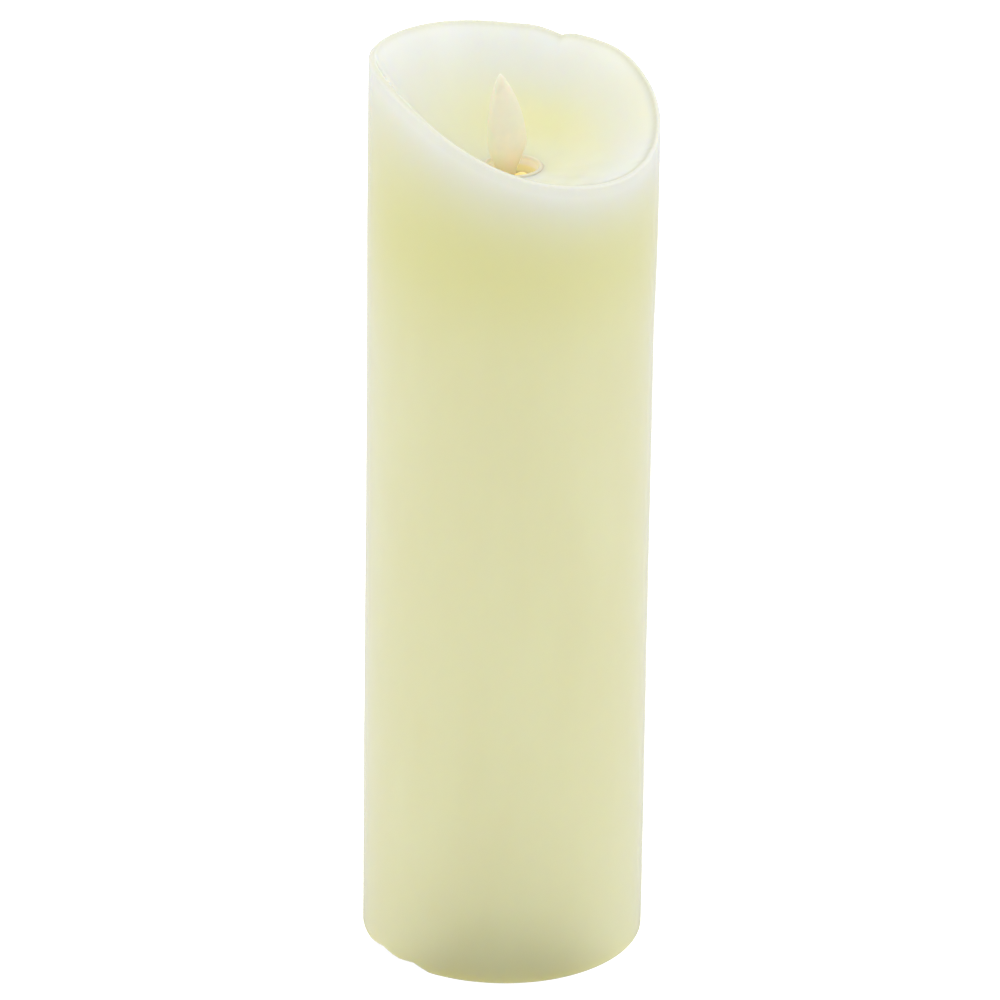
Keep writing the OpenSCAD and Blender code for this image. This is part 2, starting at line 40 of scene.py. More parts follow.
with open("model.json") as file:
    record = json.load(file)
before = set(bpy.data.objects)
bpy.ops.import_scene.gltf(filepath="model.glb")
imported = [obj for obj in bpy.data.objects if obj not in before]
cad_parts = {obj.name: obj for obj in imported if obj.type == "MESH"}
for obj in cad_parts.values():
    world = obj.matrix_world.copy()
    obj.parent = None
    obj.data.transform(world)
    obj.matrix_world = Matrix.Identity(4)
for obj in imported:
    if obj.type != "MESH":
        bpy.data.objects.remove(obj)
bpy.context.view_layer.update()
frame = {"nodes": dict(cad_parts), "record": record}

MM = 0.001
TAU = 2 * math.pi

# ---------------------------------------------------------------- places from the frame

wax_low, wax_high = (Vector(c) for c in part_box("wax_shell"))
ring_high = Vector(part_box("mouth_ring")[1])
core_high = Vector(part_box("core_tube")[1])
joints = {j["name"]: j for j in frame["record"]["behaviour"]["joints"]}
swing = joints["flame_swing"]

CANDLE_R = (wax_high.x - wax_low.x) / 2
CANDLE_H = wax_high.z
LIP_PROUD = 0.4 * MM                       # the mouth ring's lip above the bowl's floor
RING_R = 6.6 * MM                          # the mouth ring's bore
FLOOR_Z = ring_high.z - LIP_PROUD          # the level floor of the bowl
CORE_TOP = core_high.z                     # the wax is cast on this
WAX_INNER_R = core_high.x + 0.1 * MM
MOUTH_HOLE_R = 8.0 * MM                    # the wax closes up to the ring's lip
FLAT_R = MOUTH_HOLE_R + 1.1 * MM           # the bowl's wall starts to rise here
UNIT_TURN = math.atan2(swing["axis"][1], swing["axis"][0])


def unit_point(x, y, z):
    """A point of the light unit's frame in the row frame; z counts from the bowl's floor."""
    c, s = math.cos(UNIT_TURN), math.sin(UNIT_TURN)
    return Vector((x * c - y * s, x * s + y * c, FLOOR_Z + z))


# ---------------------------------------------------------------- mesh helpers

CREASE = 35                                # degrees: a sharper edge than this stays sharp


def shade(mesh, smooth_angle):
    """Smooth shading, except across edges sharper than the angle, in degrees."""
    mesh.polygons.foreach_set("use_smooth", [True] * len(mesh.polygons))
    mesh.set_sharp_from_angle(angle=math.radians(smooth_angle))


def new_piece(name, verts, faces, body, smooth_angle=CREASE):
    """A mesh object that rides on a CAD body."""
    mesh = bpy.data.meshes.new(name)
    mesh.from_pydata([tuple(map(float, v)) for v in verts], [], [tuple(map(int, f)) for f in faces])
    mesh.validate()
    shade(mesh, smooth_angle)
    mesh.update()
    piece = bpy.data.objects.new(name, mesh)
    bpy.context.scene.collection.objects.link(piece)
    if body:
        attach(piece, body)
    return piece


def loft(rings, closed_along=False, caps=False):
    """Vertices and faces through rings of equal length; each ring is closed."""
    rings = np.asarray(rings, float)
    count, size = rings.shape[:2]
    faces = []
    for k in range(count if closed_along else count - 1):
        a, b = k * size, ((k + 1) % count) * size
        for i in range(size):
            j = (i + 1) % size
            faces.append((a + i, a + j, b + j, b + i))
    if caps:
        faces.append(tuple(range(size - 1, -1, -1)))
        faces.append(tuple((count - 1) * size + i for i in range(size)))
    return rings.reshape(-1, 3), faces


def smoothstep(x):
    x = np.clip(x, 0, 1)
    return x * x * (3 - 2 * x)


def bump_at(angle, centre, width):
    """A smooth bump of height 1 around an angle; all in degrees."""
    d = (np.asarray(angle) - centre + 180) % 360 - 180
    return np.exp(-((d / width) ** 2))


# ---------------------------------------------------------------- wax pillar

RIM_WAVES = [(10.75, 1, 143.4), (3.65, 2, 33.9), (0.6, 4, 31.4)]   # mm, lobes, place in degrees
BOWL_POWER = 1.6                           # how steeply the bowl's wall rises
BULGE = 0.5 * MM
BULGE_FROM, BULGE_RUN = 172 * MM, 34 * MM
FOOT_ROUND = 0.6 * MM                      # radius of the lower edge
MOUTH_ROUND = 0.1 * MM                     # radius of the mouth's edge
CREST_INSET = 1 * MM                       # the crest's line runs this far inside the wall


def rim_wave(deg):
    """Sum of the rim's waves at an angle, in mm."""
    return sum(h * np.cos(np.radians(n * (deg - place))) for h, n, place in RIM_WAVES)


RIM_PEAK = rim_wave(np.arange(0, 360, 2.0)).max()


def smooth_rim(deg):
    """Height of the rim's crest without its small flaws."""
    return CANDLE_H + (rim_wave(deg) - RIM_PEAK) * MM


def rim_dip(deg):
    """Small flaws of the crest: a folded notch at the back, a nick and a chip at the right."""
    side = (np.asarray(deg, float) - 70.3 + 180) % 360 - 180
    notch = 1.4 * np.exp(-np.abs(side) / np.where(side > 0, 6.5, 3.0)) - 0.35 * bump_at(deg, 82, 6)
    nick = 0.25 * bump_at(deg, -13, 2.4) + 0.2 * bump_at(deg, -22, 1.8) + 0.2 * bump_at(deg, 24, 2.4)
    return (notch + nick) * MM


def rim_rise(deg):
    """The crest stands a little higher than its waves at the back right."""
    return 0.4 * MM * bump_at(deg, 42, 11)


def rim_height(deg):
    """Height of the rim's crest, with its flaws."""
    return smooth_rim(deg) + rim_rise(deg) - rim_dip(deg)


# The melted lower edge at the front left: places in degrees, and how far it is lifted in mm
FOOT_PLACES = [186, 199, 207, 212, 218, 223, 231, 239]
FOOT_LIFTS = [0, 0.1, 0.8, 1.4, 0.9, 0.7, 1.4, 0]


def foot_lift(deg):
    """How far the lower edge is melted up: two shallow scallops that meet in a cusp."""
    return np.interp(np.asarray(deg) % 360, FOOT_PLACES, FOOT_LIFTS) * MM


def wall_bulge(deg, z):
    """The wall swells by half a millimetre towards the rim, at the right."""
    return BULGE * bump_at(deg, 0, 36) * smoothstep((z - BULGE_FROM) / BULGE_RUN)


def wall_wave(deg, z):
    """Slight unevenness of the cast wall, a few hundredths of a millimetre."""
    a = np.radians(deg)
    slow = 0.05 * np.sin(2 * a + z * 31 + 0.6) + 0.04 * np.sin(3 * a - z * 47 + 2.1)
    fine = 0.018 * np.sin(9 * a + z * 210) + 0.014 * np.sin(14 * a - z * 330 + 1.3)
    return (slow + fine) * MM


def bowl_wave(deg, r):
    """Soft folds of the melted bowl."""
    a = np.radians(deg)
    share = np.clip((r - FLAT_R) / (CANDLE_R - FLAT_R), 0, 1)
    fade = np.sin(np.pi * share)
    folds = 0.22 * np.sin(3 * a + 120 * r + 0.4) + 0.16 * np.sin(5 * a - 150 * r + 1.9)
    pits = 0.07 * np.sin(11 * a + 420 * r) * np.sin(7 * a - 300 * r + 0.8)
    return (folds + pits) * fade * MM


def wax_profile(deg):
    """Closed outline of the wax at one angle, as radius and height, from the foot outwards."""
    out = []
    lift = float(foot_lift(deg))
    crest = float(rim_height(deg))
    # The foot: a flat ring, then the rounded outer edge
    flat_edge = CANDLE_R - FOOT_ROUND
    for t in (0.0, 0.35, 0.7):
        out.append((WAX_INNER_R + (flat_edge - WAX_INNER_R) * t, lift * t * t))
    for t in np.linspace(0, 1, 8):
        b = math.radians(-90 + 90 * t)
        out.append((flat_edge + FOOT_ROUND * math.cos(b), lift + FOOT_ROUND * (1 + math.sin(b))))
    # The rim's crest is fuller on the high side
    height_share = (crest - FLOOR_Z) / (CANDLE_H - FLOOR_Z)
    rim_round = (0.75 + 0.3 * height_share ** 3) * MM
    slope = math.atan(BOWL_POWER * (crest - FLOOR_Z) / (CANDLE_R - FLAT_R))
    start = lift + FOOT_ROUND
    round_r = CANDLE_R + float(wall_bulge(deg, crest)) - rim_round
    round_z = crest - rim_round
    for t in np.linspace(0, 1, 92)[1:-1]:
        z = start + (round_z - start) * t
        wave = float(wall_wave(deg, z)) * math.sin(math.pi * t) ** 0.3
        out.append((CANDLE_R + float(wall_bulge(deg, z)) + wave, z))
    for t in np.linspace(0, 1, 13):
        b = (math.pi / 2 + slope) * t
        out.append((round_r + rim_round * math.cos(b), round_z + rim_round * math.sin(b)))
    edge_r, edge_z = out[-1]
    dip = float(rim_dip(deg))
    # The bowl, from the crest in to its level floor
    for t in 1 - np.linspace(0, 1, 60)[1:] ** 1.25:
        r = FLAT_R + (edge_r - FLAT_R) * t
        z = FLOOR_Z + (edge_z + dip - FLOOR_Z) * t ** BOWL_POWER
        z -= dip * smoothstep((t - 0.8) / 0.2)
        out.append((r, z + float(bowl_wave(deg, r)) * smoothstep((1 - t) / 0.15)))
    # The mouth: a softly rounded edge, then straight down to the core
    mouth_z = FLOOR_Z - MOUTH_ROUND
    for t in (0.0, 0.25, 0.5, 0.75, 1.0):
        b = math.pi / 2 * (1 + t)
        out.append((MOUTH_HOLE_R + MOUTH_ROUND * (1 + math.cos(b)), mouth_z + MOUTH_ROUND * math.sin(b)))
    for t in (0.4, 0.8, 1.0):
        out.append((MOUTH_HOLE_R, mouth_z + (CORE_TOP - mouth_z) * t))
    # The underside of the cap and the inner wall
    for t in (0.35, 0.7, 1.0):
        out.append((MOUTH_HOLE_R + (WAX_INNER_R - MOUTH_HOLE_R) * t, CORE_TOP))
    for t in (0.2, 0.4, 0.6, 0.8, 0.97):
        out.append((WAX_INNER_R, CORE_TOP * (1 - t)))
    return out


def rim_nearness(verts):
    """Two shares that are 1 on the rim's crest: one fades over a centimetre or two and sets the painted
    light of thin wax, one fades in a millimetre and sets the crest's painted shade.
    """
    around = np.radians(np.arange(0, 360, 1.5))
    crest_r = CANDLE_R - CREST_INSET
    crest = np.stack([
        crest_r * np.cos(around),
        crest_r * np.sin(around),
        rim_height(np.degrees(around)),
    ], axis=-1)
    near = np.empty(len(verts))
    # In batches, so that the table of distances stays small
    batch = 4000
    for start in range(0, len(verts), batch):
        part = verts[start:start + batch]
        near[start:start + batch] = np.linalg.norm(part[:, None] - crest[None], axis=2).min(axis=1)
    radius = np.hypot(verts[:, 0], verts[:, 1])
    angle = np.degrees(np.arctan2(verts[:, 1], verts[:, 0]))
    inside = smoothstep((crest_r - radius) / (2 * MM))
    outside_share = np.exp(-((near / (11 * MM)) ** 1.4))
    inside_share = 0.36 + 0.64 * np.exp(-((near / (19 * MM)) ** 1.8))
    # The painted light is stronger on the floor of the bowl at the front right
    inside_share = np.maximum(inside_share, 0.75 * bump_at(angle, -62, 62))
    # and weaker on its lower wall behind the blade, which keeps a painted yellower shade there, and a
    # little weaker at the right
    yellow = bump_at(angle, 72, 55) * np.exp(-(((radius - 19 * MM) / (7 * MM)) ** 2))
    inside_share = inside_share * (1 - 0.9 * yellow) * (1 - 0.3 * bump_at(angle, 8, 32))
    on_crest = np.exp(-((near / (1.3 * MM)) ** 2))
    return outside_share * (1 - inside) + inside_share * inside, on_crest


def add_share(mesh, name, values):
    """A number for each vertex, which a material reads by name."""
    layer = mesh.attributes.new(name, "FLOAT", "POINT")
    layer.data.foreach_set("value", np.asarray(values, np.float32))


def make_wax():
    """The wax: its outline at each degree, joined into one closed shell."""
    around = 360
    angles = np.arange(around) * 360.0 / around
    outlines = np.array([wax_profile(a) for a in angles])
    c, s = np.cos(np.radians(angles)), np.sin(np.radians(angles))
    rings = np.stack([
        outlines[:, :, 0] * c[:, None],
        outlines[:, :, 0] * s[:, None],
        outlines[:, :, 1],
    ], axis=-1).transpose(1, 0, 2)
    verts, faces = loft(rings, closed_along=True)
    piece = new_piece("wax_pillar", verts, faces, "candle", smooth_angle=50)
    near_rim, on_crest = rim_nearness(verts)
    radius = np.hypot(verts[:, 0], verts[:, 1])
    above_core = verts[:, 2] > CORE_TOP + 2 * MM
    in_bowl = smoothstep((CANDLE_R - CREST_INSET - radius) / (3 * MM)) * above_core
    for name, values in (("near_rim", near_rim), ("on_crest", on_crest), ("in_bowl", in_bowl)):
        add_share(piece.data, name, values)
    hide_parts("wax_shell")
    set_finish(piece, "wax")
    return piece


# ---------------------------------------------------------------- flame blade

# Heights count from the bowl's floor, and the blade's plane stands at BLADE_X in the light unit's frame
BLADE_W, BLADE_T = 12.6 * MM, 5.8 * MM
BLADE_TIP = 26.0 * MM
BLADE_BELLY = 5.7 * MM                     # the blade is widest here
BLADE_FOOT = -2.0 * MM
FOOT_NARROWING = 0.53                      # share of the width that is lost from belly to foot
BLADE_LEAN = 2.8 * MM
BLADE_X = -2.3 * MM
PIVOT_Z = swing["pos_m"][2] - FLOOR_Z
CUP_TOP, CUP_LOW = PIVOT_Z - 18.5 * MM, PIVOT_Z - 23.1 * MM
CUP_R = 4.0 * MM
MAGNET_R, MAGNET_POCKET = 3.0 * MM, 3.6 * MM
STEM_W, STEM_T = 5.0 * MM, 2.4 * MM
STEM_LOW, STEM_TOP = CUP_LOW + 1.5 * MM, BLADE_FOOT - 1.4 * MM
BOSS_R, BOSS_HALF = 3.5 * MM, 1.7 * MM     # the boss on the pivot wire
PIVOT_BORE_R = 0.53 * MM
EDGE_ROUND = 0.35 * MM                     # radius of the moulding's edges


def blade_share(z):
    """Share of the blade's full width at height z above the bowl's floor."""
    if z > BLADE_BELLY:
        # Ends just past the tip, so that the tip keeps a little width
        climb = (z - BLADE_BELLY) / (BLADE_TIP + 0.05 * MM - BLADE_BELLY)
        return max(0.0, math.cos(math.pi / 2 * climb)) ** 0.75
    return 1 - FOOT_NARROWING * ((BLADE_BELLY - z) / (BLADE_BELLY - BLADE_FOOT)) ** 1.2


def blade_point(z, a):
    """Outline of the blade at one height: a flattened round that leans as it climbs."""
    share = blade_share(z)
    lean = -BLADE_LEAN * (max(0.0, z - BLADE_BELLY) / (BLADE_TIP - BLADE_BELLY)) ** 1.1
    return BLADE_T / 2 * share ** 0.8 * math.cos(a), BLADE_W / 2 * share * math.sin(a) + lean


def stem_point(a):
    """Outline of the stem: a rounded rectangle, as a superellipse."""
    c, s = math.cos(a), math.sin(a)
    x = STEM_T / 2 * abs(c) ** 0.35 * math.copysign(1, c)
    y = STEM_W / 2 * abs(s) ** 0.35 * math.copysign(1, s)
    return x, y


def lathe(outline, origin, axis, around=48):
    """A turned solid: outline is (radius, distance along the axis), from one end to the other."""
    axis = Vector(axis).normalized()
    side = axis.orthogonal().normalized()
    other = axis.cross(side)
    rings = []
    for r, h in outline:
        centre = Vector(origin) + axis * h
        turn = (TAU * i / around for i in range(around))
        rings.append([centre + (side * math.cos(a) + other * math.sin(a)) * max(r, 1e-6) for a in turn])
    return loft(rings, caps=True)


def rounded(r, low, high, soft, steps=5):
    """Outline of a cylinder with rounded ends."""
    turn = [math.pi / 2 * i / (steps - 1) for i in range(steps)]
    lower = [(r - soft + soft * math.sin(a), low + soft - soft * math.cos(a)) for a in turn]
    upper = [(r - soft + soft * math.cos(a), high - soft + soft * math.sin(a)) for a in turn]
    return [(0.0, low), *lower, *upper, (0.0, high)]


def carve(piece, verts, faces, kind):
    """Joins a shape to a piece, or cuts it out of the piece, and keeps the result."""
    tool = new_piece(piece.name + "_tool", verts, faces, None)
    step = piece.modifiers.new("carve", "BOOLEAN")
    step.operation = kind
    step.solver = "EXACT"
    step.object = tool
    done = bpy.data.meshes.new_from_object(piece.evaluated_get(bpy.context.evaluated_depsgraph_get()))
    piece.modifiers.clear()
    piece.data = done
    bpy.data.objects.remove(tool)


def make_blade():
    """The blade, its stem, the boss on the pivot wire and the magnet's cup, as one moulding."""
    around = 64
    turn = [TAU * i / around for i in range(around)]
    rings = []
    for z in np.linspace(STEM_LOW, STEM_TOP, 26):
        rings.append([unit_point(BLADE_X + x, y, z) for x, y in map(stem_point, turn)])
    # The stem widens smoothly into the foot of the blade
    for t in np.linspace(0, 1, 9)[1:-1]:
        z = STEM_TOP + (BLADE_FOOT - STEM_TOP) * t
        w = float(smoothstep(t))
        ring = []
        for a in turn:
            sx, sy = stem_point(a)
            bx, by = blade_point(BLADE_FOOT, a)
            ring.append(unit_point(BLADE_X + sx + (bx - sx) * w, sy + (by - sy) * w, z))
        rings.append(ring)
    # The rings stand closer together towards the tip
    climb = 46
    levels = list(np.linspace(BLADE_FOOT, BLADE_BELLY, 22))
    levels += [BLADE_TIP - (BLADE_TIP - BLADE_BELLY) * (1 - i / climb) ** 1.8 for i in range(1, climb + 1)]
    for z in levels:
        rings.append([unit_point(BLADE_X + x, y, z) for x, y in (blade_point(z, a) for a in turn)])
    piece = new_piece("flame_blade", *loft(rings, caps=True), "flame")
    up = (0, 0, 1)
    along = unit_point(1, 0, 0) - unit_point(0, 0, 0)
    pivot = unit_point(BLADE_X, 0, PIVOT_Z)
    foot = unit_point(BLADE_X, 0, 0)
    boss = rounded(BOSS_R, -BOSS_HALF, BOSS_HALF, EDGE_ROUND)
    cup = rounded(CUP_R, CUP_LOW, CUP_TOP, EDGE_ROUND)
    bore = [(PIVOT_BORE_R, -4 * MM), (PIVOT_BORE_R, 4 * MM)]
    pocket = [(MAGNET_R, CUP_LOW - 1 * MM), (MAGNET_R, CUP_LOW + MAGNET_POCKET)]
    carve(piece, *lathe(boss, pivot, along, 64), "UNION")
    carve(piece, *lathe(cup, foot, up, 64), "UNION")
    carve(piece, *lathe(bore, pivot, along, 32), "DIFFERENCE")
    carve(piece, *lathe(pocket, foot, up, 64), "DIFFERENCE")
    shade(piece.data, CREASE)
    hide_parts("flame")
    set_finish(piece, "flame_plastic")
    return piece


# ---------------------------------------------------------------- springs, wires and winding

CELL_X = (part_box("battery_1")[0].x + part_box("battery_1")[1].x) / 2
CELL_BARE_R = 11.9 * MM                    # inside this radius a cell's ends are bare
SPRING_WIRE_R = 0.4 * MM
SPRING_WIDE_R = 7 * MM                     # a spring's turn on its plate
PLATE_R, PLATE_T = 8 * MM, 0.5 * MM
RIVET_R = 1.1 * MM
INSULATED_R = 0.65 * MM                    # a wire with its insulation
WINDING_CORE_R = 3.4 * MM                  # the winding's bore
WINDING_R, WINDING_SWELL = 7.82 * MM, 0.17 * MM
TURN_PITCH = 0.35 * MM


def tube(path, r, sides=14):
    """A round wire along a path, with closed ends."""
    path = np.asarray(path, float)
    ahead = np.gradient(path, axis=0)
    normal = Vector(ahead[0]).orthogonal().normalized()
    rings = []
    for spot, way in zip(path, ahead):
        way = Vector(way).normalized()
        normal = (normal - way * normal.dot(way)).normalized()
        other = way.cross(normal)
        turn = (TAU * i / sides for i in range(sides))
        rings.append([Vector(spot) + (normal * math.cos(a) + other * math.sin(a)) * r for a in turn])
    return loft(rings, caps=True)


def together(*shapes):
    """Several closed shapes as one list of vertices and faces."""
    verts, faces = [], []
    for v, f in shapes:
        start = len(verts)
        verts += [tuple(map(float, p)) for p in v]
        faces += [tuple(start + i for i in face) for face in f]
    return verts, faces


def coil_path(x, r0, r1, z0, z1, turns=3.5, steps=56):
    """A conical spring's line, with a flat turn at each end."""
    t = np.linspace(0, 1, int(turns * steps) + 1)
    angle = TAU * turns * t
    radius = r0 + (r1 - r0) * t
    height = z0 + (z1 - z0) * smoothstep((t - 0.14) / 0.72)
    return np.stack([x + radius * np.cos(angle), radius * np.sin(angle), height], axis=-1)


def riser_path(a, b, bow):
    """A wire's line that leaves a and meets b upright, and bows sideways on the way."""
    a, b = np.array(a) * MM, np.array(b) * MM
    t = np.linspace(0, 1, 90)
    ease, swell = smoothstep(t), np.sin(np.pi * t) ** 2
    return np.stack([
        a[0] + (b[0] - a[0]) * ease + bow[0] * MM * swell,
        a[1] + (b[1] - a[1]) * ease + bow[1] * MM * swell,
        a[2] + (b[2] - a[2]) * t,
    ], axis=-1)


def make_springs():
    """The conical springs on the flat end of each cell, and the upper one's plate and rivet."""
    plate_low, rivet_high = (c.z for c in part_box("contact_plate_pos"))
    cell_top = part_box("battery_2")[1].z
    line = coil_path(-CELL_X, 3 * MM, SPRING_WIDE_R, plate_low - 0.35 * MM, cell_top + 0.5 * MM)
    foot, up = (-CELL_X, 0, plate_low), (0, 0, 1)
    disc = lathe(rounded(PLATE_R, 0, PLATE_T, 0.15 * MM), foot, up, 96)
    rivet = lathe(rounded(RIVET_R, 0.3 * MM, rivet_high - plate_low, 0.3 * MM), foot, up, 32)
    upper = new_piece("upper_spring", *together(tube(line, SPRING_WIRE_R), disc, rivet), "candle")
    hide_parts("contact_spring_neg")
    strap_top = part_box("door_strap")[1].z
    cell_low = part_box("battery_1")[0].z
    line = coil_path(CELL_X, SPRING_WIDE_R, 3.5 * MM, strap_top + 0.4 * MM, cell_low - 0.6 * MM)
    lower = new_piece("lower_spring", *tube(line, SPRING_WIRE_R), "battery_door")
    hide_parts("door_spring")
    for piece in (upper, lower):
        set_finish(piece, "steel")
    return upper, lower


def make_wires():
    """The insulated wires that rise from the cells and from the switch to the board."""
    rivet_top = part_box("contact_plate_pos")[1].z / MM
    board_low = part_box("driver_board")[0].z / MM
    switch_y = (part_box("switch_board")[0].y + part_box("switch_board")[1].y) / 2 / MM
    switch_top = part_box("switch_board")[1].z / MM
    cell = CELL_X / MM
    red = riser_path((cell, 0, rivet_top), (9, -4, board_low), (5, -7))
    black = riser_path((-cell, 0, rivet_top), (-9, -2, board_low), (-6, 6))
    pair = [
        riser_path((side * 3, switch_y, switch_top), (side * 2, 11, board_low), (side * 2, 3))
        for side in (-1, 1)
    ]
    made = []
    for name, node, slot, lines in (
        ("red_wire", "wire_positive", "red_insulation", [red]),
        ("black_wire", "wire_negative", "black_insulation", [black]),
        ("switch_wires", "wires_switch", "yellow_insulation", pair),
    ):
        piece = new_piece(name, *together(*(tube(line, INSULATED_R) for line in lines)), "candle")
        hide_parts(node)
        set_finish(piece, slot)
        made.append(piece)
    return made


def make_winding():
    """The outer layer of turns on the bobbin, one beside the other."""
    low, high = (c.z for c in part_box("coil_winding"))
    turns = int((high - low) / TURN_PITCH)
    steps = 7                              # points on the swell of one turn
    outline = [(WINDING_CORE_R, low)]
    for k in range(turns):
        for i in range(steps):
            a = math.pi * (i + 0.5) / steps
            z = low + (high - low) * (k + 0.5 - 0.5 * math.cos(a)) / turns
            outline.append((WINDING_R + WINDING_SWELL * math.sin(a), z))
    outline.append((WINDING_CORE_R, high))
    centre = unit_point(BLADE_X, 0, 0)
    around = 96
    turn = [TAU * i / around for i in range(around)]
    rings = [
        [(centre.x + r * math.cos(a), centre.y + r * math.sin(a), z) for a in turn]
        for r, z in outline
    ]
    piece = new_piece("winding_turns", *loft(rings, closed_along=True), "candle", smooth_angle=75)
    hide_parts("coil_winding")
    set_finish(piece, "copper")
    return piece


# ---------------------------------------------------------------- node helpers

def linear(r, g, b):
    """A colour given as 0 to 255 display values, as the linear values that Blender wants."""
    out = []
    for v in (r, g, b):
        v /= 255
        out.append(v / 12.92 if v <= 0.04045 else ((v + 0.055) / 1.055) ** 2.4)
    return (*out, 1.0)


class Paint:
    """A material's node tree, with one Principled shader and object coordinates."""

    def __init__(self, name):
        self.material = bpy.data.materials.new(name)
        self.material.use_nodes = True
        self.tree = self.material.node_tree
        self.tree.nodes.clear()
        self.shader = self.add("ShaderNodeBsdfPrincipled")
        self.output = self.add("ShaderNodeOutputMaterial")
        self.place = self.add("ShaderNodeTexCoord").outputs["Object"]
        self.join(self.shader.outputs[0], self.output.inputs["Surface"])

    def add(self, kind):
        return self.tree.nodes.new(kind)

    def join(self, a, b):
        self.tree.links.new(a, b)

    def set(self, **values):
        """Constants on the shader's own sockets."""
        for key, value in values.items():
            socket = key.replace("_", " ").title().replace("Ior", "IOR")
            self.shader.inputs[socket].default_value = value

    def scaled(self, scale):
        """Object coordinates stretched by three factors."""
        node = self.add("ShaderNodeMapping")
        node.inputs["Scale"].default_value = scale
        self.join(self.place, node.inputs["Vector"])
        return node.outputs[0]

    def noise(self, scale, detail=3.0, roughness=0.5, vector=None):
        node = self.add("ShaderNodeTexNoise")
        node.inputs["Scale"].default_value = scale
        node.inputs["Detail"].default_value = detail
        node.inputs["Roughness"].default_value = roughness
        self.join(vector or self.place, node.inputs["Vector"])
        return node.outputs["Fac"]

    def cells(self, scale):
        """Distance to the nearest of many scattered points."""
        node = self.add("ShaderNodeTexVoronoi")
        node.inputs["Scale"].default_value = scale
        self.join(self.place, node.inputs["Vector"])
        return node.outputs["Distance"]

    def ramp(self, value, stops, smooth=False):
        """A colour ramp of (place, colour) stops."""
        node = self.add("ShaderNodeValToRGB")
        node.color_ramp.interpolation = "EASE" if smooth else "LINEAR"
        band = node.color_ramp.elements
        while len(band) < len(stops):
            band.new(0.5)
        for element, (place, colour) in zip(band, stops):
            element.position = place
            element.color = colour if len(colour) == 4 else (*colour, 1)
        self.join(value, node.inputs["Fac"])
        return node.outputs["Color"]

    def rescale(self, value, low, high, to_low, to_high):
        """A value's range mapped onto another, and held at its ends."""
        node = self.add("ShaderNodeMapRange")
        for key, number in (("From Min", low), ("From Max", high), ("To Min", to_low), ("To Max", to_high)):
            node.inputs[key].default_value = number
        self.join(value, node.inputs["Value"])
        return node.outputs[0]

    def axis(self, which):
        """One object coordinate."""
        node = self.add("ShaderNodeSeparateXYZ")
        self.join(self.place, node.inputs[0])
        return node.outputs[which]

    def distance(self, spot):
        """Distance from a spot, in object coordinates."""
        node = self.add("ShaderNodeVectorMath")
        node.operation = "DISTANCE"
        node.inputs[1].default_value = spot
        self.join(self.place, node.inputs[0])
        return node.outputs["Value"]

    def maths(self, kind, a, b=None):
        node = self.add("ShaderNodeMath")
        node.operation = kind
        for socket, value in zip(node.inputs, (a, b)):
            if isinstance(value, (int, float)):
                socket.default_value = value
            elif value is not None:
                self.join(value, socket)
        return node.outputs[0]

    def mix(self, a, b, share, kind="MIX"):
        """Two colours, mixed by a share of the second."""
        node = self.add("ShaderNodeMix")
        node.data_type = "RGBA"
        node.blend_type = kind
        for name, value in (("A", a), ("B", b)):
            socket = next(s for s in node.inputs if s.name == name and s.type == "RGBA")
            if isinstance(value, tuple):
                socket.default_value = value
            else:
                self.join(value, socket)
        factor = next(s for s in node.inputs if s.name == "Factor" and s.type == "VALUE")
        if isinstance(share, float):
            factor.default_value = share
        else:
            self.join(share, factor)
        return next(s for s in node.outputs if s.type == "RGBA")

    def colour(self, value):
        self.join(value, self.shader.inputs["Base Color"])

    def bump(self, height, distance, strength):
        """Relief on top of any relief that is there already."""
        node = self.add("ShaderNodeBump")
        node.inputs["Strength"].default_value = strength
        node.inputs["Distance"].default_value = distance
        self.join(height, node.inputs["Height"])
        previous = self.shader.inputs["Normal"].links
        if previous:
            self.join(previous[0].from_socket, node.inputs["Normal"])
        self.join(node.outputs[0], self.shader.inputs["Normal"])

    def attribute(self, name):
        """A number that the mesh holds for each vertex."""
        node = self.add("ShaderNodeAttribute")
        node.attribute_name = name
        return node.outputs["Fac"]

    def clamp(self, value):
        node = self.add("ShaderNodeClamp")
        self.join(value, node.inputs[0])
        return node.outputs[0]

    def rough(self, value):
        self.join(value, self.shader.inputs["Roughness"])


# ---------------------------------------------------------------- materials

WAX_BODY = linear(232, 231, 186)
WAX_DEEP = linear(230, 228, 181)
WAX_THICK_SHADE = linear(227, 225, 160)
WAX_BOWL_LIGHT = linear(241, 239, 184)
WAX_THIN_LIGHT = linear(233, 236, 236)
WAX_CREST_SHADE = linear(206, 208, 192)
WAX_SPECK = linear(205, 190, 150)
THICK_SHADE_PLACE = CORE_TOP - 3 * MM             # where the wall is painted at its yellowest, the painted shade of thick wax
THICK_SHADE_WIDTH = 24 * MM
BLACK, WHITE = (0, 0, 0), (1, 1, 1)


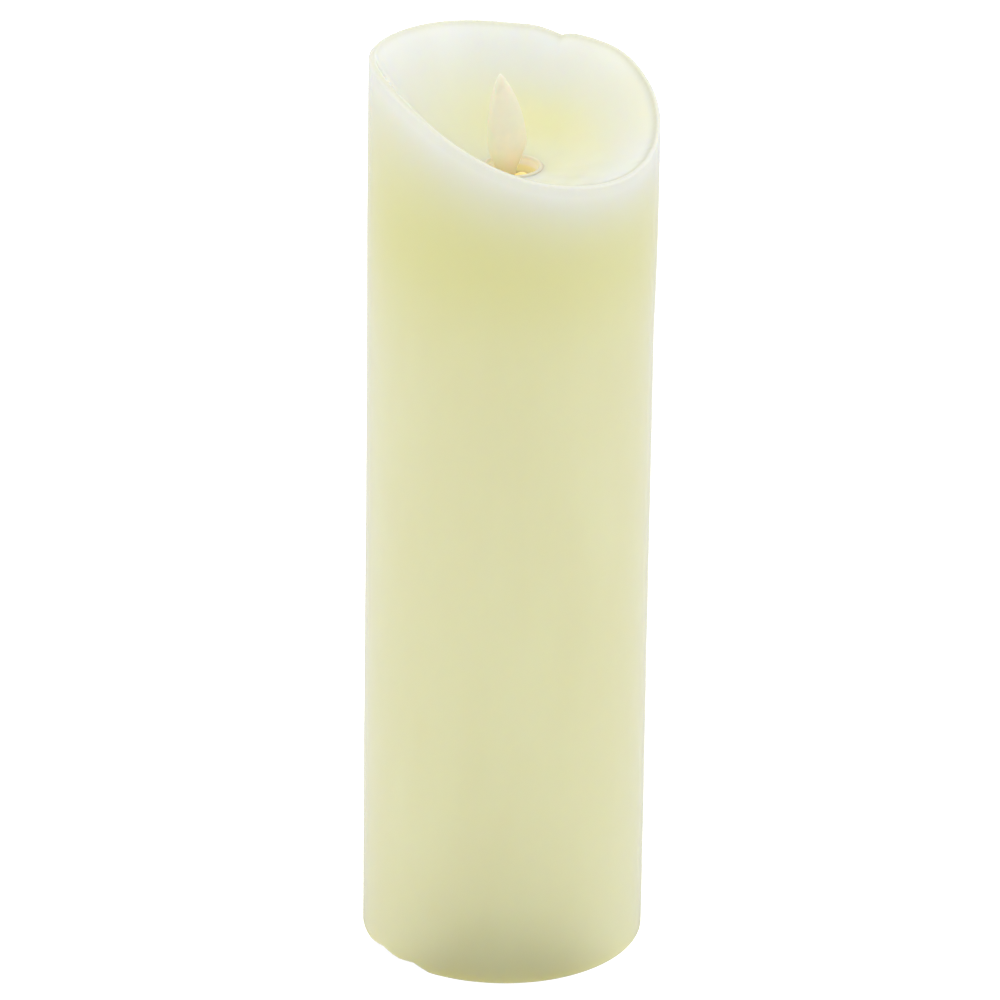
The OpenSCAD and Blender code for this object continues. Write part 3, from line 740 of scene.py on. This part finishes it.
def wax_material():
    """Ivory wax, faintly mottled, with painted light and shade: yellower in the thick body, brighter in the
    bowl, whiter near the thin rim and deeper on the crest.
    """
    p = Paint("ivory_wax")
    mottle = p.noise(42, 3, 0.55, p.scaled((1, 1, 0.4)))
    base = p.ramp(mottle, [(0.3, WAX_DEEP), (0.7, WAX_BODY)], smooth=True)
    # Painted shade: below the rim, where the solid cap ends, the thick wax is painted at its yellowest, as
    # it lets less light through
    away = p.maths("DIVIDE", p.maths("SUBTRACT", p.axis("Z"), THICK_SHADE_PLACE), THICK_SHADE_WIDTH)
    band = p.maths("POWER", 2.718, p.maths("MULTIPLY", p.maths("MULTIPLY", away, away), -1.0))
    base = p.mix(base, WAX_THICK_SHADE, band)
    # Painted light: the bowl is painted a brighter colour than the same wax of the wall
    base = p.mix(base, WAX_BOWL_LIGHT, p.attribute("in_bowl"))
    # Painted light: thin wax near the rim lets light through, and this is painted in as a whiter colour
    share = p.attribute("near_rim")
    cloud = p.rescale(p.noise(90, 3), 0.3, 0.7, -0.06, 0.06)
    base = p.mix(base, WAX_THIN_LIGHT, p.clamp(p.maths("ADD", share, p.maths("MULTIPLY", cloud, share))))
    # Painted shade: the crest is lit from both sides, so its colour is painted a little deeper to hold back
    # that light
    base = p.mix(base, WAX_CREST_SHADE, p.attribute("on_crest"))
    # Rare trapped specks
    speck = p.ramp(p.cells(95), [(0.0, WHITE), (0.03, BLACK)])
    rare = p.ramp(p.noise(38, 1), [(0.66, BLACK), (0.69, WHITE)])
    base = p.mix(base, WAX_SPECK, p.maths("MULTIPLY", speck, p.maths("MULTIPLY", rare, 0.4)))
    p.colour(base)
    p.set(subsurface_weight=1.0, subsurface_scale=5.0 * MM, subsurface_radius=(1.0, 0.85, 0.5))
    p.set(coat_weight=1.0, coat_roughness=0.16, coat_ior=1.5, ior=1.44)
    p.rough(p.rescale(p.noise(140, 4), 0.3, 0.7, 0.36, 0.5))
    p.bump(p.noise(900, 4, 0.6), 0.02 * MM, 0.3)
    p.bump(p.noise(120, 3), 0.08 * MM, 0.25)
    return p.material


def blade_material():
    """Frosted milky plastic of the flame, faintly pink, a little warmer towards its foot."""
    p = Paint("flame_plastic")
    low, high, tip = linear(244, 238, 212), linear(234, 232, 211), linear(227, 226, 208)
    share = p.rescale(p.axis("Z"), FLOOR_Z, FLOOR_Z + BLADE_TIP, 0, 1)
    cloud = p.rescale(p.noise(260, 2), 0.3, 0.7, -0.12, 0.12)
    stops = [(0.0, low), (0.58, high), (0.8, high), (1.0, tip)]
    p.colour(p.ramp(p.maths("ADD", share, cloud), stops, smooth=True))
    p.set(subsurface_weight=1.0, subsurface_scale=3 * MM, subsurface_radius=(1.0, 0.7, 0.5))
    p.rough(p.rescale(p.noise(700, 3), 0.3, 0.7, 0.34, 0.48))
    p.bump(p.noise(2600, 3), 0.02 * MM, 0.3)
    return p.material


def plastic(name, colour, roughness, grain=2400, depth=0.02 * MM, dust=None):
    """Moulded plastic: fine spark-eroded grain, slow flow marks and, where asked, a little dust."""
    p = Paint(name)
    dark = tuple(v * 0.82 for v in colour[:3]) + (1,)
    light = tuple(min(1, v * 1.12 + 0.004) for v in colour[:3]) + (1,)
    base = p.ramp(p.noise(60, 3), [(0.3, dark), (0.5, colour), (0.75, light)], smooth=True)
    if dust:
        patch = p.ramp(p.noise(420, 6, 0.7), [(0.56, BLACK), (0.78, WHITE)])
        base = p.mix(base, dust, p.maths("MULTIPLY", patch, 0.25))
    p.colour(base)
    p.rough(p.rescale(p.noise(grain / 4, 3), 0.3, 0.7, roughness - 0.07, roughness + 0.1))
    p.bump(p.noise(grain, 2), depth, 0.4)
    return p.material


def ring_plastic():
    """Ivory plastic. The ring's bore has a painted glow, an emission that stands in for the diode's light:
    ivory under the lip, and yellow near the diode, where its colour is also painted yellow with the diode's
    light.
    """
    p = Paint("ivory_plastic")
    base = p.ramp(p.noise(60, 3), [(0.3, linear(232, 224, 198)), (0.7, linear(240, 233, 210))], smooth=True)
    height = p.axis("Z")
    deep = p.rescale(height, FLOOR_Z - 1.6 * MM, FLOOR_Z - 2.4 * MM, 0, 1)
    under_lip = p.rescale(height, FLOOR_Z + 0.2 * MM, FLOOR_Z - 0.6 * MM, 0, 0.3)
    inner = p.rescale(p.distance((0, 0, FLOOR_Z)), RING_R + 0.8 * MM, RING_R + 2 * MM, 1, 0)
    # Painted light: the lower bore is painted yellow, as lit by the diode
    diode_light_paint = p.maths("MULTIPLY", deep, inner)
    p.colour(p.mix(base, linear(244, 226, 164), diode_light_paint))
    # Painted glow: the ring is no lamp, yet it gives out light here
    glow = p.mix(linear(255, 246, 226), linear(255, 242, 182), deep)
    p.join(glow, p.shader.inputs["Emission Color"])
    p.join(p.maths("MULTIPLY", under_lip, inner), p.shader.inputs["Emission Strength"])
    p.set(subsurface_weight=1.0, subsurface_scale=2 * MM, subsurface_radius=(1.0, 0.75, 0.45))
    p.rough(p.rescale(p.noise(500, 3), 0.3, 0.7, 0.36, 0.5))
    p.bump(p.noise(2200, 2), 0.02 * MM, 0.4)
    return p.material


def metal(name, colour, roughness, stretch=(1, 1, 1)):
    """Bright metal with drawn or turned lines and faint tarnish."""
    p = Paint(name)
    dull = tuple(v * 0.72 for v in colour[:3]) + (1,)
    p.colour(p.ramp(p.noise(300, 4), [(0.3, dull), (0.62, colour)], smooth=True))
    p.set(metallic=1.0)
    lines = p.noise(1600, 2, 0.5, p.scaled(stretch))
    p.rough(p.rescale(lines, 0.25, 0.75, roughness - 0.08, roughness + 0.14))
    p.bump(lines, 0.01 * MM, 0.3)
    return p.material


def winding():
    """Enamelled copper wire: fine turns stacked up the bobbin, with painted shade in the grooves and
    painted highlight on the crowns.
    """
    p = Paint("copper_winding")
    wave = p.add("ShaderNodeTexWave")
    wave.bands_direction = "Z"
    for key, number in (("Scale", 156.25), ("Distortion", 1.2), ("Detail", 2), ("Detail Scale", 40)):
        wave.inputs[key].default_value = number
    p.join(p.place, wave.inputs["Vector"])
    turn_relief_and_shade = wave.outputs["Fac"]
    # Painted shade and highlight: each turn is painted dark in the grooves between turns and bright on its
    # crown; the same bands also set roughness and relief
    stops = [(0.0, linear(70, 26, 10)), (0.5, linear(190, 96, 46)), (1.0, linear(224, 140, 84))]
    p.colour(p.ramp(turn_relief_and_shade, stops))
    p.set(metallic=0.85, coat_weight=0.6, coat_roughness=0.15)
    p.rough(p.rescale(turn_relief_and_shade, 0, 1, 0.42, 0.26))
    p.bump(turn_relief_and_shade, 0.12 * MM, 0.8)
    return p.material


def circuit_board():
    """Green solder mask over glass weave, with copper tracks showing through."""
    p = Paint("circuit_board")
    tracks = p.add("ShaderNodeTexBrick")
    tracks.offset = 0.37
    for key, value in (
        ("Scale", 1.0),
        ("Mortar Size", 0.32 * MM),
        ("Brick Width", 6.5 * MM),
        ("Row Height", 2.1 * MM),
        ("Color1", linear(22, 88, 50)),
        ("Color2", linear(16, 74, 42)),
        ("Mortar", linear(52, 128, 72)),
    ):
        tracks.inputs[key].default_value = value
    p.join(p.place, tracks.inputs["Vector"])
    weave = p.ramp(p.noise(1500, 2, 0.5, p.scaled((1, 0.2, 1))), [(0.3, (0.8, 0.8, 0.8)), (0.7, WHITE)])
    p.colour(p.mix(tracks.outputs["Color"], weave, 0.6, "MULTIPLY"))
    p.set(coat_weight=0.4, coat_roughness=0.2)
    p.rough(p.rescale(p.noise(900, 3), 0.3, 0.7, 0.3, 0.45))
    p.bump(tracks.outputs["Fac"], 0.03 * MM, 0.6)
    return p.material


def battery_jacket():
    """A plain printed jacket, dark with a pale grey band at the button end, and bare steel ends."""
    p = Paint("cell_jacket")
    height = p.axis("Z")
    # The cells stand opposite ways up, so the band is high on one and low on the other
    on_right = p.maths("GREATER_THAN", p.axis("X"), 0.0)
    on_left = p.maths("SUBTRACT", 1.0, on_right)
    high_band = p.maths("MULTIPLY", on_right, p.maths("GREATER_THAN", height, 42 * MM))
    low_band = p.maths("MULTIPLY", on_left, p.maths("LESS_THAN", height, 20 * MM))
    dark = p.ramp(p.noise(200, 3), [(0.3, linear(34, 37, 42)), (0.7, linear(46, 50, 56))])
    pale = p.ramp(p.noise(160, 3), [(0.3, linear(150, 153, 157)), (0.7, linear(172, 175, 179))])
    steel = p.ramp(p.noise(260, 4), [(0.3, linear(168, 169, 171)), (0.7, linear(208, 209, 210))])
    # Within the jacket's folded edge the ends are bare
    aside = p.maths("SUBTRACT", p.maths("ABSOLUTE", p.axis("X")), CELL_X)
    deep = p.axis("Y")
    from_axis = p.maths("ADD", p.maths("MULTIPLY", aside, aside), p.maths("MULTIPLY", deep, deep))
    bare = p.maths("LESS_THAN", p.maths("SQRT", from_axis), CELL_BARE_R)
    printed = p.mix(dark, pale, p.maths("MAXIMUM", high_band, low_band))
    p.colour(p.mix(printed, steel, bare))
    p.join(p.rescale(bare, 0, 1, 0.35, 1.0), p.shader.inputs["Metallic"])
    p.set(coat_weight=0.5, coat_roughness=0.12)
    p.rough(p.rescale(p.noise(700, 3), 0.3, 0.7, 0.26, 0.36))
    p.bump(p.noise(1200, 2), 0.01 * MM, 0.3)
    return p.material


def rubber():
    """Dull dark rubber with a coarse grain."""
    p = Paint("foot_rubber")
    p.colour(p.ramp(p.noise(500, 5), [(0.3, linear(38, 38, 39)), (0.7, linear(58, 57, 56))]))
    p.rough(p.rescale(p.noise(900, 3), 0.3, 0.7, 0.7, 0.88))
    p.bump(p.noise(1800, 4), 0.05 * MM, 0.5)
    return p.material


def amber_lens():
    """The diode: clear amber resin over a yellow chip."""
    p = Paint("amber_lens")
    near_tip = p.rescale(p.axis("Z"), FLOOR_Z - 8 * MM, FLOOR_Z - 1 * MM, 0, 1)
    cloud = p.rescale(p.noise(500, 2), 0.3, 0.7, -0.1, 0.1)
    stops = [(0.0, linear(226, 190, 104)), (1.0, linear(244, 220, 144))]
    p.colour(p.ramp(p.maths("ADD", near_tip, cloud), stops))
    p.set(subsurface_weight=0.7, subsurface_scale=2 * MM, subsurface_radius=(1.0, 0.8, 0.3))
    p.set(coat_weight=0.3, coat_roughness=0.12)
    p.set(emission_color=linear(255, 236, 160), emission_strength=0.2)
    p.rough(p.rescale(p.noise(300, 2), 0.3, 0.7, 0.12, 0.2))
    return p.material


def paint_nodes(materials):
    """Every CAD node takes the material of its record slot."""
    slots = {s["node"]: s["material_slot"] for s in frame["record"]["subparts"]}
    for name, node in frame["nodes"].items():
        node.data.materials.clear()
        node.data.materials.append(materials[slots[name]])


# ---------------------------------------------------------------- stage

SKY = 1.0
FRONT_DIM = 0.14                           # how much dimmer the sky is in front
SIDE_POWER = 0.8
TOP_POWER = 0.8
FLOOR_HALF = 5.0
FLOOR_WHITE = 0.8
FLOOR_GAP = 0.02 * MM                      # keeps the floor clear of the candle's flat underside
SHADE_PATCH_PLACE = (0, -44 * MM, 0)              # a painted dark patch of floor around here, in front of the candle, for shade at the candle's foot
CAMERA_ELEVATION = math.radians(24.85)
CAMERA_ROLL = math.radians(0.805)
CAMERA_DISTANCE = 2.1278
CAMERA_TARGET = Vector((-2.109 * MM, 0, 126.348 * MM))
SENSOR_W = 36                              # millimetres, as the lens below
LENS = 36 * 7.9515


def make_floor():
    """A pale, evenly lit floor. It is seen from above only, so that the base shows from below."""
    h = FLOOR_HALF
    corners = [(x, y, -FLOOR_GAP) for x, y in ((-h, -h), (h, -h), (h, h), (-h, h))]
    floor = new_piece("floor", corners, [(0, 1, 2, 3)], None)
    p = Paint("floor_paper")
    light, dark = (FLOOR_WHITE,) * 3, (FLOOR_WHITE - 0.02,) * 3
    paper = p.ramp(p.noise(6, 2), [(0.3, dark), (0.7, light)])
    # Painted shade: close in front of the candle the floor is painted dark, so that it gives back little
    # light and the candle's foot is darker
    near = p.rescale(p.distance(SHADE_PATCH_PLACE), 20 * MM, 43 * MM, 0.9, 0)
    p.colour(p.mix(paper, (0.02, 0.02, 0.018, 1), near))
    p.rough(p.rescale(p.noise(80, 2), 0.3, 0.7, 0.85, 0.95))
    p.set(emission_color=(1, 1, 1, 1))
    # The paper is burnt out to white in the picture, and only lights the candle as paper does
    seen = p.add("ShaderNodeLightPath").outputs["Is Camera Ray"]
    p.join(seen, p.shader.inputs["Emission Strength"])
    # It is clear from below, and under the candle
    clear = p.add("ShaderNodeBsdfTransparent")
    pick = p.add("ShaderNodeMixShader")
    behind = p.add("ShaderNodeNewGeometry").outputs["Backfacing"]
    under = p.maths("LESS_THAN", p.distance((0, 0, 0)), CANDLE_R - 0.3 * MM)
    p.join(p.maths("MAXIMUM", behind, under), pick.inputs[0])
    p.join(p.shader.outputs[0], pick.inputs[1])
    p.join(clear.outputs[0], pick.inputs[2])
    p.join(pick.outputs[0], p.output.inputs["Surface"])
    floor.data.materials.append(p.material)


def make_world():
    """Even studio light from all round, a little dimmer in front, where the camera stands."""
    world = bpy.data.worlds.new("studio")
    world.use_nodes = True
    tree = world.node_tree
    back = tree.nodes["Background"]
    back.inputs["Color"].default_value = (1, 1, 1, 1)
    way = tree.nodes.new("ShaderNodeTexCoord").outputs["Generated"]
    split = tree.nodes.new("ShaderNodeSeparateXYZ")
    tree.links.new(way, split.inputs[0])
    front = tree.nodes.new("ShaderNodeMapRange")
    front.interpolation_type = "SMOOTHSTEP"
    front.inputs["From Min"].default_value = -0.5
    front.inputs["From Max"].default_value = -1.0
    front.inputs["To Min"].default_value = SKY
    front.inputs["To Max"].default_value = SKY - FRONT_DIM
    tree.links.new(split.outputs["Y"], front.inputs["Value"])
    tree.links.new(front.outputs[0], back.inputs["Strength"])
    bpy.context.scene.world = world


def softbox(name, place, width, height, power):
    """A white area light, turned to the candle's middle."""
    lamp = bpy.data.lights.new(name, "AREA")
    lamp.shape = "RECTANGLE"
    lamp.size, lamp.size_y = width, height
    lamp.energy = power
    lamp.color = (1, 1, 1)
    holder = bpy.data.objects.new(name, lamp)
    holder.location = place
    aim = Vector((0, 0, CANDLE_H / 2)) - Vector(place)
    holder.rotation_euler = aim.to_track_quat("-Z", "Y").to_euler()
    bpy.context.scene.collection.objects.link(holder)


def make_lights():
    """Tall soft boxes at both sides, and a square one above."""
    softbox("left_box", (-1.1, -0.25, 0.5), 0.4, 1.2, SIDE_POWER)
    softbox("right_box", (1.1, -0.25, 0.5), 0.4, 1.2, SIDE_POWER)
    softbox("top_box", (0.0, 0.1, 1.2), 0.8, 0.8, TOP_POWER)


def make_camera():
    """A long lens a little above the candle, tipped by under a degree."""
    forward = Vector((0, math.cos(CAMERA_ELEVATION), -math.sin(CAMERA_ELEVATION)))
    level = Vector((1, 0, 0))
    upright = Vector((0, math.sin(CAMERA_ELEVATION), math.cos(CAMERA_ELEVATION)))
    right = level * math.cos(CAMERA_ROLL) + upright * math.sin(CAMERA_ROLL)
    up = upright * math.cos(CAMERA_ROLL) - level * math.sin(CAMERA_ROLL)
    data = bpy.data.cameras.new("camera")
    data.sensor_width = SENSOR_W
    data.lens = LENS
    camera = bpy.data.objects.new("camera", data)
    place = CAMERA_TARGET - forward * CAMERA_DISTANCE
    camera.matrix_world = Matrix((
        (right.x, up.x, -forward.x, place.x),
        (right.y, up.y, -forward.y, place.y),
        (right.z, up.z, -forward.z, place.z),
        (0, 0, 0, 1),
    ))
    bpy.context.scene.collection.objects.link(camera)
    bpy.context.scene.camera = camera


# ---------------------------------------------------------------- the scene

DUST = linear(150, 148, 140)

materials = {
    "wax": wax_material(),
    "ivory_plastic": ring_plastic(),
    "flame_plastic": blade_material(),
    "magnet_steel": metal("magnet_steel", linear(205, 207, 212), 0.16),
    "steel": metal("steel", linear(196, 198, 200), 0.3, (1, 1, 0.15)),
    "white_plastic": plastic("white_plastic", linear(232, 231, 224), 0.42),
    "amber_lens": amber_lens(),
    "copper": winding(),
    "green_board": circuit_board(),
    "chip_black": plastic("chip_black", linear(38, 38, 41), 0.55, 3200),
    "capacitor_can": plastic("capacitor_can", linear(44, 54, 92), 0.28, 900),
    "black_plastic": plastic("black_plastic", linear(36, 36, 38), 0.5, 2000, 0.04 * MM, DUST),
    "cell_jacket": battery_jacket(),
    "red_insulation": plastic("red_insulation", linear(196, 36, 30), 0.32, 1400),
    "black_insulation": plastic("black_insulation", linear(30, 30, 32), 0.34, 1400),
    "yellow_insulation": plastic("yellow_insulation", linear(222, 186, 44), 0.32, 1400),
    "rubber": rubber(),
}
paint_nodes(materials)

for piece in (make_wax(), make_blade(), *make_springs(), *make_wires(), make_winding()):
    piece.data.materials.append(materials[piece["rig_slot"]])

make_floor()
make_world()
make_lights()
make_camera()
bpy.context.scene.view_settings.view_transform = "Standard"
